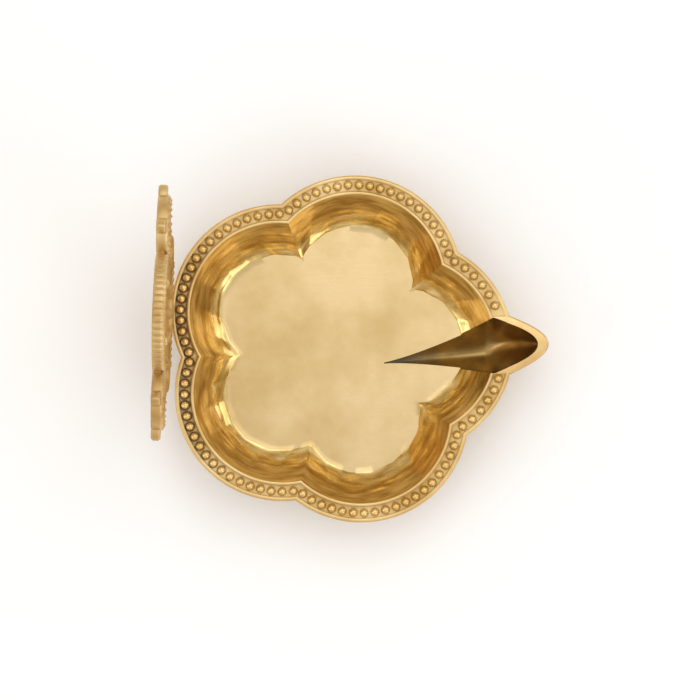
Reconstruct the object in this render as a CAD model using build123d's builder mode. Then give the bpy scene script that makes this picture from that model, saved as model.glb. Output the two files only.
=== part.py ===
"""Cast brass diya: a shallow five-lobed oil lamp with a beaded rim, a wick spout and an upright plate.

Frame, in millimetres: +Z up, the table at Z = 0, the lamp's centre on the Z axis, +X towards the
spout's nose and -X towards the back plate.  Facing the lamp from its spout, the disc medallion is on
the left (-Y) and the conch medallion is on the right (+Y).
"""

import os
from math import atan2, cos, hypot, radians, sin, sqrt

from build123d import *

# Bowl in plan: five lobes, each an arc about its own centre
LOBES = 5
lobe_centre = 19.2  # lamp axis to the centre of a lobe's arcs
flange_r = 30.0  # arc radius at the flange's outer edge
mouth_r = 24.7  # arc radius at the mouth
shoulder_r = 19.9  # arc radius where the steep wall turns into the cove
floor_r = 16.3  # arc radius at the floor's edge

# Bowl in height
foot_height = 6.5
floor_thickness = 2.0
bowl_depth = 10.5
cove_depth = 3.0  # part of the depth that the cove takes
wall = 1.8
flange_thickness = 2.2
lip_width = 0.8
lip_height = 0.35

# Beads on the flange
bead_r = 1.18
bead_rise = 0.85
bead_ring_r = 27.3
beads_per_lobe = 19
spout_bead_angle = 21.9  # first bead beside the spout, seen from its lobe's centre
spout_beads = 6  # beads on each side of the spout

# Wick spout
spout_lean = -1.1  # degrees that the hand-made spout leans to one side
nose_reach = 9.8  # nose beyond the spout lobe's edge
nose_half = 2.5
spout_root_half = 8.2
spout_border = 3.0  # flange left round the channel

# Wick channel
channel_root_x = 13.2  # where the channel starts on the floor
channel_root_y = -4.0
channel_mouth_half = 7.6
channel_spread = 0.285  # half width gained per millimetre along the floor
channel_dip = 4.0  # deepest point below the floor
channel_dip_inset = 2.4  # deepest point inside the mouth's edge
channel_nose_dip = 1.8  # bottom below the flange at the nose
keel_wall = 1.5
channel_steps = 4  # lofted stretches on each side of the deepest point
channel_nose_half = 1.6

# Foot ring under the floor
foot_inset = 2.8  # foot's top edge inside the corners of the bowl's base
foot_waist = 1.2
foot_flare = 2.5
foot_wall = 2.4
foot_rim = 1.2
keel_gap = 0.3  # clearance of the foot round the keel

# Tab behind one back lobe, and the single screw that holds the plate on it
PLATE_LOBE = 2  # lobe that the plate stands behind, counted from the spout's
screw_outset = 1.5  # screw's axis outside the lobe's edge
tab_half = 2.8
screw_r = 1.25
screw_hole_gap = 0.15
thread_gap = 0.02
screw_bite = 3.4
drill_margin = 0.5
head_r = 2.3
head_height = 1.5
slot_width = 0.6
slot_depth = 0.7
washer_r = 2.7
washer_thickness = 0.5

# Back plate: u runs to the viewer's right, w runs up from the tab, relief stands towards the bowl
plate_twist = -4.6  # degrees that the plate is turned from square
plate_slide = -1.6  # plate's middle beside the lobe's outermost point
plate_thickness = 2.6
plate_back = 1.2  # back face behind the screw's axis
pad_front = 2.5
pad_height = 5.2
relief = 1.0
bead_gap = 0.4  # plate's lower edge above the beads
arch_half = 15.0
arch_shoulder = 46.0
arch_top = 66.0
arch_border = 1.5
crest_knob_r = 1.5
crest_knobs = 15  # on each side of the arch
medallion_r = 8.6
medallion_overlap = 0.5
medallion_w = 47.0
ring_width = 2.4
medallion_beads = 22
medallion_bead_r = 0.7
spokes = 8
spoke_width = 1.2
hub_r = 2.0
flame_length = 3.2
flame_half = 2.1
arm_width = 3.2
arm_low = 9.5  # where the two curved arms leave the arch
arm_reach = 5.0
arm_neck = 8.0  # arm's last bend below its medallion
lotus_low = 5.0
petals = 7
petal_length = 9.0
petal_half = 2.3
petal_fan = 150  # degrees between the outermost petals
mark_half = 7.8
mark_foot_half = 5.6  # half width where the two outer strokes turn into the bend
mark_width = 2.8
mark_low = 16.0
mark_high = 50.0
mark_rise = 1.3

# Heights and places that follow
floor_z = foot_height + floor_thickness
rim_z = floor_z + bowl_depth
shoulder_z = floor_z + cove_depth
flange_z = rim_z - flange_thickness
arch_low = bead_rise + bead_gap
lip_z = rim_z + lip_height
half_lobe = radians(180 / LOBES)
mouth_x = lobe_centre + mouth_r
spout_root_x = lobe_centre + flange_r - 1.0
nose_x = lobe_centre + flange_r + nose_reach
channel_dip_x = mouth_x - channel_dip_inset
channel_straight_x = lobe_centre + floor_r  # where its centre line meets the spout's


def notch_distance(radius):
    """Lamp axis to the corner between two lobes whose arcs have this radius."""
    return lobe_centre * cos(half_lobe) + sqrt(radius**2 - (lobe_centre * sin(half_lobe)) ** 2)


def on_ray(distance, angle):
    """Point at a distance from the lamp axis, at an angle in radians."""
    return (distance * cos(angle), distance * sin(angle))


def lobed(radius):
    """Sketch of the lobed outline with this arc radius."""
    with BuildSketch() as outline:
        with BuildLine():
            for lobe in range(LOBES):
                middle = 2 * half_lobe * lobe
                notch = notch_distance(radius)
                ThreePointArc(
                    on_ray(notch, middle - half_lobe),
                    on_ray(lobe_centre + radius, middle),
                    on_ray(notch, middle + half_lobe),
                )
        make_face()
    return outline.sketch


def spout_plan(root_x, root_half, tip_x, tip_half):
    """Sketch of a spout: two bowed sides from its root to a round nose, closed inside the lobe."""
    turn_x = tip_x - 0.6 * tip_half
    side_x = (root_x + turn_x) / 2
    side_half = (root_half + tip_half) / 2
    bow = 0.06 * (turn_x - root_x)
    with BuildSketch() as outline:
        with BuildLine():
            for side in (1, -1):
                Line((lobe_centre, side * root_half), (root_x, side * root_half))
                ThreePointArc(
                    (root_x, side * root_half),
                    (side_x + bow, side * (side_half + bow)),
                    (turn_x, side * tip_half),
                )
            ThreePointArc((turn_x, tip_half), (tip_x, 0), (turn_x, -tip_half))
            Line((lobe_centre, root_half), (lobe_centre, -root_half))
        make_face()
    return outline.sketch


def channel_depth_z(x):
    """Height of the wick channel's bottom: down along the floor, then up to the nose."""
    if x <= channel_dip_x:
        share = (x - channel_root_x) / (channel_dip_x - channel_root_x)
        return floor_z - 0.2 - (channel_dip - 0.2) * share
    share = (x - channel_dip_x) / (nose_x - spout_border - channel_dip_x)
    return floor_z - channel_dip + (bowl_depth + channel_dip - channel_nose_dip) * share**1.3


def channel_body(margin, top):
    """Wick channel as a solid up to a height, grown by a margin below and to the sides."""
    tip_x = nose_x - spout_border
    run_in = channel_dip_x - channel_root_x
    run_out = tip_x + margin - channel_dip_x
    stations = [channel_root_x + run_in * step / channel_steps for step in range(channel_steps)]
    stations += [channel_dip_x + run_out * step / channel_steps for step in range(channel_steps + 1)]
    foot_share = 0.88  # half width where the channel's sides meet its round bottom
    with BuildPart() as body:
        for x in stations:
            behind = max(0.0, (channel_straight_x - x) / (channel_straight_x - channel_root_x))
            centre = channel_root_y * behind
            bottom = channel_depth_z(min(x, tip_x))
            low_half = min(0.5 + channel_spread * (x - channel_root_x), foot_share * channel_mouth_half)
            low_z = max(floor_z, bottom + 0.35 * (rim_z - bottom))
            top_half = low_half + (1 - foot_share) * channel_mouth_half
            across = Plane(origin=(x, centre, 0), x_dir=(0, 1, 0), z_dir=(1, 0, 0))
            with BuildSketch(across):
                with BuildLine():
                    Line((-top_half - margin, top), (-low_half - margin, low_z))
                    ThreePointArc(
                        (-low_half - margin, low_z), (0, bottom - margin), (low_half + margin, low_z)
                    )
                    Line((low_half + margin, low_z), (top_half + margin, top))
                    Line((top_half + margin, top), (-top_half - margin, top))
                make_face()
        loft(ruled=True)
        with BuildSketch():
            mouth_half = channel_mouth_half + margin
            add(spout_plan(mouth_x, mouth_half, tip_x + margin, channel_nose_half + margin))
            with Locations((channel_root_x - margin, 0)):
                Rectangle(
                    mouth_x - channel_root_x,
                    2 * mouth_half,
                    align=(Align.MIN, Align.CENTER),
                )
        extrude(amount=top, mode=Mode.INTERSECT)
    return body.part.rotate(Axis.Z, spout_lean)


def bead_places():
    """Centre of every bead on the flange, as (x, y)."""
    notch = notch_distance(bead_ring_r)
    reach = atan2(notch * sin(half_lobe), notch * cos(half_lobe) - lobe_centre)
    pitch = 2 * reach / beads_per_lobe
    last = pitch * (beads_per_lobe - 1) / 2
    first = radians(spout_bead_angle)
    places = []
    for lobe in range(LOBES):
        angles = [pitch * step - last for step in range(beads_per_lobe)]
        if lobe == 0:
            beside = [first + (last - first) * step / (spout_beads - 1) for step in range(spout_beads)]
            angles = beside + [-angle for angle in beside]
        turn = 2 * half_lobe * lobe
        centre = on_ray(lobe_centre, turn)
        for angle in angles:
            out = on_ray(bead_ring_r, turn + angle)
            places.append((centre[0] + out[0], centre[1] + out[1]))
    return places


# The bowl's outer wall stands off its inner wall by the wall thickness, squarely to each slope
upper_run = (mouth_r - shoulder_r) / (rim_z - shoulder_z)
lower_run = (shoulder_r - floor_r) / cove_depth
upper_shift = wall * hypot(1, upper_run)
lower_shift = wall * hypot(1, lower_run)
outer_rim_r = mouth_r + upper_shift
outer_base_r = floor_r + lower_shift - floor_thickness * lower_run
knee_rise = (outer_rim_r - outer_base_r - upper_run * (rim_z - foot_height)) / (lower_run - upper_run)
knee_z = foot_height + knee_rise
knee_r = outer_base_r + knee_rise * lower_run

foot_top_r = notch_distance(outer_base_r) - foot_inset
foot_waist_r = foot_top_r - foot_waist
foot_base_r = foot_top_r + foot_flare

# The plate's directions, and the screw's axis just outside the lobe's edge
twist = radians(plate_twist)
plate_forward = Vector(cos(twist), sin(twist), 0)
plate_across = Vector(-sin(twist), cos(twist), 0)
plate_lobe_centre = Vector(*on_ray(lobe_centre, 2 * half_lobe * PLATE_LOBE))
screw_axis = plate_lobe_centre - (flange_r + screw_outset) * plate_forward + plate_slide * plate_across
screw_x, screw_y = screw_axis.X, screw_axis.Y


def post_level(z):
    """Level plane with its origin on the screw's axis and its x towards the plate's front."""
    return Plane(origin=(screw_x, screw_y, z), x_dir=plate_forward, z_dir=(0, 0, 1))


# Bowl: one casting with its flange, spout, keel, tab, lip and beads
keel = channel_body(keel_wall, rim_z)
channel = channel_body(0, rim_z + 1)

with BuildPart() as bowl:
    with BuildSketch(Plane.XY.offset(flange_z)):
        add(lobed(flange_r))
        add(spout_plan(spout_root_x, spout_root_half, nose_x, nose_half).rotate(Axis.Z, spout_lean))
    extrude(amount=flange_thickness)
    with BuildSketch(post_level(flange_z)):
        Circle(tab_half)
        Rectangle(flange_r - mouth_r, 2 * tab_half, align=(Align.MIN, Align.CENTER))
    extrude(amount=flange_thickness)
    with BuildSketch(Plane.XY.offset(rim_z)):
        add(lobed(mouth_r + lip_width))
    extrude(amount=lip_height)
    for radius_low, z_low, radius_high, z_high in (
        (outer_base_r, foot_height, knee_r, knee_z),
        (knee_r, knee_z, outer_rim_r, rim_z),
    ):
        with BuildSketch(Plane.XY.offset(z_low)):
            add(lobed(radius_low))
        with BuildSketch(Plane.XY.offset(z_high)):
            add(lobed(radius_high))
        loft(ruled=True)
    add(keel)
    for radius_low, z_low, radius_high, z_high in (
        (floor_r, floor_z, shoulder_r, shoulder_z),
        (shoulder_r, shoulder_z, mouth_r, lip_z),
    ):
        with BuildSketch(Plane.XY.offset(z_low)):
            add(lobed(radius_low))
        with BuildSketch(Plane.XY.offset(z_high)):
            add(lobed(radius_high))
        loft(ruled=True, mode=Mode.SUBTRACT)
    add(channel, mode=Mode.SUBTRACT)
    with Locations(*[(x, y, rim_z + bead_rise - bead_r) for x, y in bead_places()]):
        Sphere(bead_r)
    with BuildSketch(post_level(flange_z)):
        Circle(screw_r + screw_hole_gap)
    extrude(amount=flange_thickness, mode=Mode.SUBTRACT)

# Foot: a flared ring brazed under the floor, notched round the keel
foot_keel = channel_body(keel_wall + keel_gap, rim_z)
with BuildPart() as foot_ring:
    with BuildSketch(Plane.XZ):
        with BuildLine():
            Line((foot_top_r - foot_wall, foot_height), (foot_top_r, foot_height))
            ThreePointArc(
                (foot_top_r, foot_height),
                (foot_waist_r, (foot_height + foot_rim) / 2),
                (foot_base_r, foot_rim),
            )
            Polyline(
                (foot_base_r, foot_rim),
                (foot_base_r, 0),
                (foot_base_r - foot_wall, 0),
                (foot_waist_r - foot_wall, foot_height / 2),
                (foot_top_r - foot_wall, foot_height),
            )
        make_face()
    revolve(axis=Axis.Z)
    add(foot_keel, mode=Mode.SUBTRACT)

# Back plate: one casting with its relief and the pad it stands on
plate_front = plate_thickness - plate_back
medallion_u = arch_half + medallion_r - medallion_overlap


def plate_level(ahead):
    """Plane of the plate at a distance in front of the screw's axis; local x is u, local y is w."""
    start = Vector(screw_x, screw_y, rim_z) + ahead * plate_forward
    return Plane(origin=start, x_dir=plate_across, z_dir=plate_forward)


def arch(inset):
    """Sketch of the arched panel, drawn in from its edge."""
    half = arch_half - inset
    low = arch_low + inset
    top = arch_top - 1.3 * inset
    shoulder = (0.8 * half, arch_shoulder + 0.58 * (top - arch_shoulder))
    with BuildSketch() as outline:
        with BuildLine():
            Polyline(
                (half, arch_shoulder), (half, low), (-half, low), (-half, arch_shoulder)
            )
            for side in (1, -1):
                ThreePointArc((side * half, arch_shoulder), (side * shoulder[0], shoulder[1]), (0, top))
        make_face()
    return outline.sketch


def crest_places():
    """Centres of the knobs along both sides of the arch's head, and one at its point."""
    middle = (0.8 * arch_half, arch_shoulder + 0.58 * (arch_top - arch_shoulder))
    with BuildLine() as head:
        ThreePointArc((arch_half, arch_shoulder), middle, (0, arch_top))
    places = [(0, arch_top)]
    for step in range(crest_knobs):
        point = head.line @ (step / crest_knobs)
        places.append((point.X, point.Y))
        places.append((-point.X, point.Y))
    return places


def flame(length, half):
    """Sketch of a pointed tongue that rises from its local origin."""
    with BuildSketch() as outline:
        with BuildLine():
            for side in (1, -1):
                ThreePointArc((0, length), (0.75 * side * half, 0.55 * length), (side * half, 0))
            Line((half, 0), (-half, 0))
        make_face()
    return outline.sketch


def band(points, width):
    """Sketch of a band of one width along a smooth line through the points."""
    with BuildSketch() as outline:
        with BuildLine() as line:
            Spline(*points)
        trace(line.line, line_width=width)
    return outline.sketch


def flames_round(radius):
    """Sketch of four flame tongues that point out from a circle about the local origin."""
    with BuildSketch() as outline:
        with PolarLocations(radius, 4):
            add(flame(flame_length, flame_half).rotate(Axis.Z, -90))
    return outline.sketch


def conch():
    """Sketch of the conch: a round whorl with a spire above it and a long canal below."""
    reach = medallion_r - ring_width + 0.6
    with BuildSketch() as outline:
        Ellipse(0.62 * reach, 0.56 * reach)
        with BuildLine():
            Spline((-0.6 * reach, 0), (-0.3 * reach, -0.62 * reach), (0.22 * reach, -reach))
            Spline((0.22 * reach, -reach), (0.34 * reach, -0.5 * reach), (0.61 * reach, 0))
            Line((0.61 * reach, 0), (-0.6 * reach, 0))
        make_face()
        with BuildLine():
            Polyline(
                (-0.45 * reach, 0.3 * reach), (-0.1 * reach, reach), (0.4 * reach, 0.3 * reach), close=True
            )
        make_face()
    return outline.sketch


with BuildPart() as back_plate:
    with BuildSketch(plate_level(-plate_back)):
        add(arch(0))
        with Locations(*crest_places()):
            Circle(crest_knob_r)
        for side in (1, -1):
            with Locations((side * medallion_u, medallion_w)):
                Circle(medallion_r)
                add(flames_round(medallion_r - 0.4))
            add(
                band(
                    (
                        (side * (arch_half - 1), arm_low),
                        (side * (arch_half + arm_reach), arm_low + arm_reach),
                        (side * (arch_half + arm_reach), medallion_w - medallion_r - arm_neck),
                        (side * medallion_u, medallion_w - medallion_r + 1),
                    ),
                    arm_width,
                )
            )
    extrude(amount=plate_thickness)

    # Raised border, rings, wheel and conch
    with BuildSketch(plate_level(plate_front)):
        add(arch(0))
        add(arch(arch_border), mode=Mode.SUBTRACT)
        for side in (1, -1):
            with Locations((side * medallion_u, medallion_w)):
                Circle(medallion_r)
                Circle(medallion_r - ring_width, mode=Mode.SUBTRACT)
        with Locations((-medallion_u, medallion_w)):
            Circle(hub_r)
            with PolarLocations(0, spokes):
                Rectangle(
                    medallion_r - ring_width + 0.2, spoke_width, align=(Align.MIN, Align.CENTER)
                )
        with Locations((medallion_u, medallion_w)):
            add(conch())
    extrude(amount=relief)

    # Lotus under the mark, and the three-stroke mark itself
    with BuildSketch(plate_level(plate_front)):
        for step in range(petals):
            lean = petal_fan * (step / (petals - 1) - 0.5)
            with Locations((0, lotus_low)):
                add(flame(petal_length, petal_half).rotate(Axis.Z, lean))
        with Locations((0, lotus_low)):
            Circle(petal_half)
    extrude(amount=relief)
    with BuildSketch(plate_level(plate_front)):
        with BuildLine() as mark:
            for side in (1, -1):
                Line((side * mark_half, mark_high), (side * mark_foot_half, mark_low + mark_foot_half))
            ThreePointArc(
                (mark_foot_half, mark_low + mark_foot_half),
                (0, mark_low),
                (-mark_foot_half, mark_low + mark_foot_half),
            )
        trace(mark.line, line_width=mark_width)
        with Locations((0, mark_low + mark_width)):
            add(flame(mark_high - mark_low, 0.6 * mark_width))
    extrude(amount=mark_rise)

    # Beads round both rings
    bead_level = plate_level(plate_front + relief - 0.25)
    with Locations(bead_level):
        with Locations((-medallion_u, medallion_w), (medallion_u, medallion_w)):
            with PolarLocations(medallion_r - ring_width / 2, medallion_beads):
                Sphere(medallion_bead_r)

    # Pad with its blind tapped hole
    with BuildSketch(post_level(rim_z)):
        Circle(tab_half)
        Rectangle(pad_front, 2 * tab_half, align=(Align.MIN, Align.CENTER))
    extrude(amount=pad_height)
    with BuildSketch(post_level(rim_z)):
        Circle(screw_r + thread_gap)
    extrude(amount=screw_bite + drill_margin, mode=Mode.SUBTRACT)

# Washer under the tab, and the screw that comes up through it
washer_low = flange_z - washer_thickness
with BuildPart() as washer:
    with BuildSketch(post_level(washer_low)):
        Circle(washer_r)
        Circle(screw_r + screw_hole_gap, mode=Mode.SUBTRACT)
    extrude(amount=washer_thickness)

with BuildPart() as fixing_screw:
    with BuildSketch(post_level(washer_low - head_height)):
        Circle(head_r)
    extrude(amount=head_height)
    fillet(fixing_screw.faces().sort_by(Axis.Z)[0].edges(), radius=0.5)
    with BuildSketch(post_level(washer_low)):
        Circle(screw_r)
    extrude(amount=washer_thickness + flange_thickness + screw_bite)
    chamfer(fixing_screw.faces().sort_by(Axis.Z)[-1].edges(), length=0.3)
    with BuildSketch(post_level(washer_low - head_height)):
        Rectangle(2 * head_r + 1, slot_width)
    extrude(amount=slot_depth, mode=Mode.SUBTRACT)

bowl.part.label = "bowl"
foot_ring.part.label = "foot_ring"
back_plate.part.label = "back_plate"
washer.part.label = "washer"
fixing_screw.part.label = "fixing_screw"

os.makedirs("parts", exist_ok=True)
export_step(bowl.part, "parts/bowl.step")
export_step(foot_ring.part, "parts/foot_ring.step")
export_step(back_plate.part, "parts/back_plate.step")
export_step(washer.part, "parts/washer.step")
export_step(fixing_screw.part, "parts/fixing_screw.step")

for made in (bowl, foot_ring, back_plate, washer, fixing_screw):
    box = made.part.bounding_box()
    print(made.part.label, round(made.part.volume), len(made.part.solids()), made.part.is_valid, box)
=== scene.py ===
"""Looks of the cast brass diya: bowl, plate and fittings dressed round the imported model.

Sizes inside the classes are millimetres in the model's own frame, +Z up and +X towards the spout;
the mesh builder turns them into metres.
"""

import cmath
import logging
import math
import random
from collections.abc import Callable, Iterable, Sequence
from dataclasses import dataclass, field
from enum import Enum

import bmesh
import bpy
import numpy as np
from mathutils import Matrix, Vector, noise


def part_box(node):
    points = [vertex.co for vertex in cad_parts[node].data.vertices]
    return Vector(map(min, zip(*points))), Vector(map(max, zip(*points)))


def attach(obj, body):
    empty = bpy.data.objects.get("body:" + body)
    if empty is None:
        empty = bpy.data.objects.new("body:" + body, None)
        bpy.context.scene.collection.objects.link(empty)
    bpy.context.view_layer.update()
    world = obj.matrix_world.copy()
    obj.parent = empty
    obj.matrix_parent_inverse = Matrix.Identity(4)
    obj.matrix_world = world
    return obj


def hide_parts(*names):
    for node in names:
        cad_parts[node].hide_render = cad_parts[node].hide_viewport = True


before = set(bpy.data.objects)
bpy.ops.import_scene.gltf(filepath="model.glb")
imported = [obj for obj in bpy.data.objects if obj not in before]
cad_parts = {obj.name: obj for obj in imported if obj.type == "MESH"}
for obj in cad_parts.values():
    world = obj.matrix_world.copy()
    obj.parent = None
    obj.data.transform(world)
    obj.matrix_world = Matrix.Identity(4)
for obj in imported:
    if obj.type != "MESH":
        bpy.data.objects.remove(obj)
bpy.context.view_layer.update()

log = logging.getLogger("diya")

MM = 0.001
BODY = "root"
PLATE_TWIST = math.radians(-4.6)  # turn of the plate from square
ROUND_STEPS = 32  # corners of a round hole
HALF_ROUND_STEPS = 24
EVEN = (1.0, 1.0, 1.0)
ALONG_LAMP = (0.06, 1.0, 1.0)  # scratches that run from the plate to the spout

Point = tuple[float, float]
Face = tuple[int, ...]


def cad_box(node: str) -> tuple[Vector, Vector]:
    """Lowest and highest corners of a model node, in millimetres.

    Args:
        node: The node's name.

    Returns:
        The two corners.
    """
    low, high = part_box(node)
    return Vector(low) / MM, Vector(high) / MM


def at_plate(local: np.ndarray, base: float) -> np.ndarray:
    """Moves points from the plate's own axes, which stand on the screw, to the lamp's.

    Args:
        local: One row of ahead, across and up for each point.
        base: Height that up is counted from.

    Returns:
        One row of x, y, z for each point.
    """
    low, high = cad_box("washer")
    axis = (low + high) / 2
    x = axis.x + local[:, 0] * math.cos(PLATE_TWIST) - local[:, 1] * math.sin(PLATE_TWIST)
    y = axis.y + local[:, 0] * math.sin(PLATE_TWIST) + local[:, 1] * math.cos(PLATE_TWIST)
    return np.column_stack([x, y, base + local[:, 2]])


class Zone(Enum):
    """Parts of the casting that are finished differently, in the order of the bowl's slots."""

    FLOOR = 0
    WALL = 1
    RIM = 2
    GROUND = 3
    BEAD = 4
    CHANNEL = 5
    UNDERSIDE = 6


# ---------------------------------------------------------------- mesh helpers


def new_piece(
    name: str,
    points: np.ndarray,
    faces: Iterable[Sequence[int]],
    zones: Sequence[int] | None = None,
) -> bpy.types.Object:
    """Makes an object from points in millimetres.

    Args:
        name: The piece's name.
        points: One row of x, y, z for each vertex.
        faces: Vertex numbers of each face, counter-clockwise from outside.
        zones: Material slot of each face, if there is more than one.

    Returns:
        The new object, linked to the scene.
    """
    mesh = bpy.data.meshes.new(name)
    mesh.from_pydata((np.asarray(points) * MM).tolist(), [], [list(face) for face in faces])
    if zones is not None:
        mesh.polygons.foreach_set("material_index", list(zones))
    mesh.validate()
    mesh.update()
    piece = bpy.data.objects.new(name, mesh)
    bpy.context.scene.collection.objects.link(piece)
    return piece


def apply_modifiers(piece: bpy.types.Object) -> None:
    """Replaces a piece's mesh with what its modifiers make of it."""
    graph = bpy.context.evaluated_depsgraph_get()
    mesh = bpy.data.meshes.new_from_object(piece.evaluated_get(graph), depsgraph=graph)
    piece.modifiers.clear()
    old = piece.data
    piece.data = mesh
    bpy.data.meshes.remove(old)


def combine(piece: bpy.types.Object, tool: bpy.types.Object, operation: str) -> None:
    """Joins a tool to a piece, or cuts it away, and removes the tool.

    Args:
        piece: The piece that is changed.
        tool: A closed mesh.
        operation: UNION or DIFFERENCE.
    """
    change = piece.modifiers.new(operation.lower(), "BOOLEAN")
    change.operation = operation
    change.object = tool
    change.solver = "MANIFOLD"
    apply_modifiers(piece)
    mesh = tool.data
    bpy.data.objects.remove(tool)
    bpy.data.meshes.remove(mesh)


def shares(count: int) -> list[float]:
    """Equal steps from just above 0 up to 1."""
    return [step / count for step in range(1, count + 1)]


def grid_faces(rows: int, columns: int) -> list[Face]:
    """Quads between closed rings of vertices stored ring after ring.

    Args:
        rows: Number of rings.
        columns: Vertices in a ring.

    Returns:
        One tuple of four vertex numbers for each quad.
    """
    faces = []
    for start in range(0, (rows - 1) * columns, columns):
        for column in range(columns):
            after = (column + 1) % columns
            low, high = start + column, start + after
            faces.append((low, high, high + columns, low + columns))
    return faces


def tube_faces(rows: int, columns: int, inside_out: bool = False) -> list[Face]:
    """Faces of a closed tube: quads between its rings and a cap on each end.

    Args:
        rows: Number of rings.
        columns: Vertices in a ring.
        inside_out: Whether the rings run clockwise, so that the faces have to be turned over.

    Returns:
        The faces.
    """
    faces = grid_faces(rows, columns)
    faces += [tuple(reversed(range(columns))), tuple(range((rows - 1) * columns, rows * columns))]
    return [face[::-1] for face in faces] if inside_out else faces


def ease(share: float) -> float:
    """Smooth step from 0 to 1."""
    share = min(max(share, 0.0), 1.0)
    return share * share * (3 - 2 * share)


def turned(points: np.ndarray, angle: float) -> np.ndarray:
    """Points turned about the Z axis by an angle in radians."""
    c, s = math.cos(angle), math.sin(angle)
    return np.asarray(points) @ np.array([[c, -s, 0], [s, c, 0], [0, 0, 1]]).T


def prism(
    name: str,
    plan: Sequence[Point],
    levels: tuple[float, float],
    base: float,
    slot: int,
    clockwise: bool = False,
) -> bpy.types.Object:
    """Upright prism beside the screw.

    Args:
        name: The prism's name.
        plan: Corners, as distances ahead of the screw and across.
        levels: Heights of its underside and its top above the base.
        base: Height that the levels are counted from.
        slot: Material slot of its faces.
        clockwise: Whether the plan runs clockwise.

    Returns:
        The prism.
    """
    local = np.array([(ahead, across, level) for level in levels for ahead, across in plan])
    faces = tube_faces(2, len(plan), clockwise)
    return new_piece(name, at_plate(local, base), faces, [slot] * len(faces))


def circle(radius: float, clockwise: bool = False) -> list[Point]:
    """Corners of a round hole's plan."""
    side = -radius if clockwise else radius
    ways = np.linspace(0, 2 * math.pi, ROUND_STEPS + 1)[:-1]
    return [(radius * math.cos(way), side * math.sin(way)) for way in ways]


def shade(piece: bpy.types.Object, crease: float) -> None:
    """Shades a piece smooth, but for creases sharper than an angle in degrees."""
    piece.data.polygons.foreach_set("use_smooth", [True] * len(piece.data.polygons))
    piece.data.set_sharp_from_angle(angle=math.radians(crease))


# ---------------------------------------------------------------- finishes


def linear(code: str) -> tuple[float, float, float, float]:
    """Linear colour of an sRGB hex code such as "#C8963C"."""
    channels = (int(code[place : place + 2], 16) / 255 for place in (1, 3, 5))
    return (
        *(c / 12.92 if c <= 0.04045 else ((c + 0.055) / 1.055) ** 2.4 for c in channels),
        1.0,
    )


def add_node(
    tree: bpy.types.NodeTree,
    kind: str,
    settings: dict[str, object] | None = None,
    **links: object,
) -> bpy.types.Node:
    """Adds one node with its settings, values and links.

    Args:
        tree: The material's node tree.
        kind: The node's type name without its ShaderNode prefix.
        settings: Attributes of the node itself.
        links: Input values or sockets, by input name with _ for a space, or in0, in1 by place.

    Returns:
        The new node.
    """
    node = tree.nodes.new("ShaderNode" + kind)
    for key, value in (settings or {}).items():
        setattr(node, key, value)
    for key, value in links.items():
        place = int(key[2:]) if key[:2] == "in" and key[2:].isdigit() else key.replace("_", " ")
        socket = node.inputs[place]
        if isinstance(value, bpy.types.NodeSocket):
            tree.links.new(value, socket)
        else:
            socket.default_value = value
    return node


def add_ramp(
    tree: bpy.types.NodeTree, source: bpy.types.NodeSocket, stops: Sequence[tuple[float, object]]
) -> bpy.types.NodeSocket:
    """Maps a value through colour stops.

    Args:
        tree: The material's node tree.
        source: Socket that gives the value.
        stops: Position and linear colour, or grey level, of each stop.

    Returns:
        The colour socket.
    """
    ramp = add_node(tree, "ValToRGB", Fac=source)
    band = ramp.color_ramp
    while len(band.elements) < len(stops):
        band.elements.new(0.5)
    for element, (place, colour) in zip(band.elements, stops):
        element.position = place
        element.color = colour if isinstance(colour, tuple) else (colour, colour, colour, 1.0)
    return ramp.outputs["Color"]


def add_math(
    tree: bpy.types.NodeTree, operation: str, *values: object, clamp: bool = False
) -> bpy.types.NodeSocket:
    """Adds one calculation on values or sockets, in order, and returns its result."""
    settings = {"operation": operation, "use_clamp": clamp}
    inputs = {f"in{place}": value for place, value in enumerate(values)}
    return add_node(tree, "Math", settings, **inputs).outputs[0]


def add_noise(
    tree: bpy.types.NodeTree,
    place: bpy.types.NodeSocket,
    size: float,
    detail: float,
    roughness: float = 0.5,
) -> bpy.types.NodeSocket:
    """Adds soft noise whose features are a size in millimetres, and returns its level."""
    scale = 1 / MM / size
    kind = "TexNoise"
    node = add_node(tree, kind, Vector=place, Scale=scale, Detail=detail, Roughness=roughness)
    return node.outputs["Fac"]


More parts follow.
